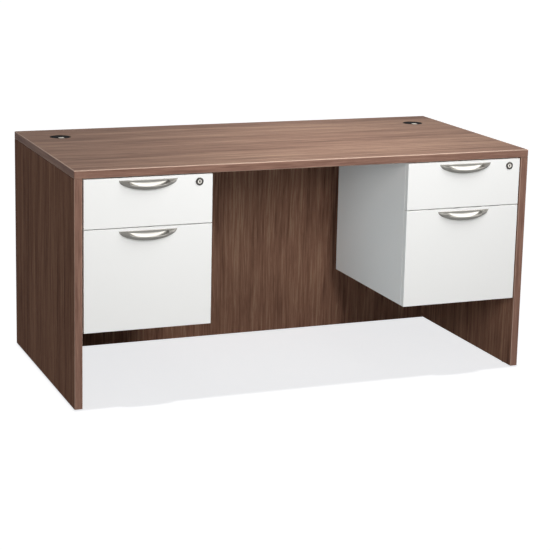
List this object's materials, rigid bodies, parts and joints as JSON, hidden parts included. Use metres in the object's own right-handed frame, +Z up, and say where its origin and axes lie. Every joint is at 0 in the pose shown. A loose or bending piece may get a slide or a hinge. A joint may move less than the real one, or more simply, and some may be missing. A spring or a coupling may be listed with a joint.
{
  "type": "pedestal desk",
  "caption": "Double-pedestal office desk: dark walnut worktop, end and modesty panels, white hanging drawer pedestals with crescent pulls, cam locks and cable grommets.",
  "frame": {"origin": "on the floor under the middle of the desk's whole outline, handles included", "axes": "+X to the right of a person seated at the desk, +Y from the drawer fronts to the back, +Z up"},
  "size_m": [1.524, 0.7817, 0.7366],
  "materials": {
    "walnut_laminate": "satin walnut-grain laminate on particle board",
    "walnut_edge_band": "satin walnut-grain edge band",
    "white_laminate": "white laminate on particle board",
    "satin_nickel": "satin nickel plate",
    "zinc_plated_steel": "bright zinc plate",
    "black_plastic": "matte black",
    "glide_plastic": "dark brown"
  },
  "bodies": {
    "desk": {"worktop": "walnut_laminate", "edge_bands": "walnut_edge_band", "left_end_panel": "walnut_laminate", "right_end_panel": "walnut_laminate", "modesty_panel": "walnut_laminate", "cam_fasteners": "zinc_plated_steel", "floor_glides": "glide_plastic", "grommet_sleeves": "black_plastic", "hanging_screws": "zinc_plated_steel", "case_runners": "zinc_plated_steel", "left_pedestal_outer_side": "white_laminate", "left_pedestal_inner_side": "white_laminate", "left_pedestal_top": "white_laminate", "left_pedestal_bottom": "white_laminate", "left_pedestal_back": "white_laminate", "right_pedestal_outer_side": "white_laminate", "right_pedestal_inner_side": "white_laminate", "right_pedestal_top": "white_laminate", "right_pedestal_bottom": "white_laminate", "right_pedestal_back": "white_laminate"},
    "left_box_drawer": {"left_box_drawer_front": "white_laminate", "left_box_drawer_left_side": "white_laminate", "left_box_drawer_right_side": "white_laminate", "left_box_drawer_back": "white_laminate", "left_box_drawer_bottom": "white_laminate", "left_box_handle": "satin_nickel", "left_box_handle_screws": "zinc_plated_steel", "left_box_drawer_runners": "zinc_plated_steel", "left_lock_barrel": "satin_nickel"},
    "left_file_drawer": {"left_file_drawer_front": "white_laminate", "left_file_drawer_left_side": "white_laminate", "left_file_drawer_right_side": "white_laminate", "left_file_drawer_back": "white_laminate", "left_file_drawer_bottom": "white_laminate", "left_file_handle": "satin_nickel", "left_file_handle_screws": "zinc_plated_steel", "left_file_drawer_runners": "zinc_plated_steel"},
    "left_lock": {"left_lock_plug": "satin_nickel"},
    "left_file_middle_runners": {"left_file_middle_runners": "zinc_plated_steel"},
    "left_grommet_cap": {"left_grommet_cap": "black_plastic"},
    "right_box_drawer": {"right_box_drawer_front": "white_laminate", "right_box_drawer_left_side": "white_laminate", "right_box_drawer_right_side": "white_laminate", "right_box_drawer_back": "white_laminate", "right_box_drawer_bottom": "white_laminate", "right_box_handle": "satin_nickel", "right_box_handle_screws": "zinc_plated_steel", "right_box_drawer_runners": "zinc_plated_steel", "right_lock_barrel": "satin_nickel"},
    "right_file_drawer": {"right_file_drawer_front": "white_laminate", "right_file_drawer_left_side": "white_laminate", "right_file_drawer_right_side": "white_laminate", "right_file_drawer_back": "white_laminate", "right_file_drawer_bottom": "white_laminate", "right_file_handle": "satin_nickel", "right_file_handle_screws": "zinc_plated_steel", "right_file_drawer_runners": "zinc_plated_steel"},
    "right_lock": {"right_lock_plug": "satin_nickel"},
    "right_file_middle_runners": {"right_file_middle_runners": "zinc_plated_steel"},
    "right_grommet_cap": {"right_grommet_cap": "black_plastic"}
  },
  "joints": [
    {"name": "left_box_drawer_slide", "type": "slide", "parent": "desk", "child": "left_box_drawer", "axis": [0, -1, 0], "range_m": [0, 0.375]},
    {"name": "left_file_drawer_slide", "type": "slide", "parent": "desk", "child": "left_file_drawer", "axis": [0, -1, 0], "range_m": [0, 0.45]},
    {"name": "left_lock_turn", "type": "hinge", "parent": "left_box_drawer", "child": "left_lock", "pos_m": [-0.3716, -0.368, 0.686], "axis": [0, 1, 0], "range_deg": [0, 90]},
    {"name": "left_file_middle_runners_slide", "type": "slide", "parent": "desk", "child": "left_file_middle_runners", "axis": [0, -1, 0], "range_m": [0, 0.225]},
    {"name": "left_grommet_cap_turn", "type": "hinge", "parent": "desk", "child": "left_grommet_cap", "pos_m": [-0.644, 0.242, 0.7366], "axis": [0, 0, 1], "continuous": true},
    {"name": "right_box_drawer_slide", "type": "slide", "parent": "desk", "child": "right_box_drawer", "axis": [0, -1, 0], "range_m": [0, 0.375]},
    {"name": "right_file_drawer_slide", "type": "slide", "parent": "desk", "child": "right_file_drawer", "axis": [0, -1, 0], "range_m": [0, 0.45]},
    {"name": "right_lock_turn", "type": "hinge", "parent": "right_box_drawer", "child": "right_lock", "pos_m": [0.6946, -0.368, 0.686], "axis": [0, 1, 0], "range_deg": [0, 90]},
    {"name": "right_file_middle_runners_slide", "type": "slide", "parent": "desk", "child": "right_file_middle_runners", "axis": [0, -1, 0], "range_m": [0, 0.225]},
    {"name": "right_grommet_cap_turn", "type": "hinge", "parent": "desk", "child": "right_grommet_cap", "pos_m": [0.644, 0.242, 0.7366], "axis": [0, 0, 1], "continuous": true}
  ],
  "couplings": [
    {"joint": "left_file_middle_runners_slide", "follows": "left_file_drawer_slide", "ratio": 0.5},
    {"joint": "right_file_middle_runners_slide", "follows": "right_file_drawer_slide", "ratio": 0.5}
  ]
}
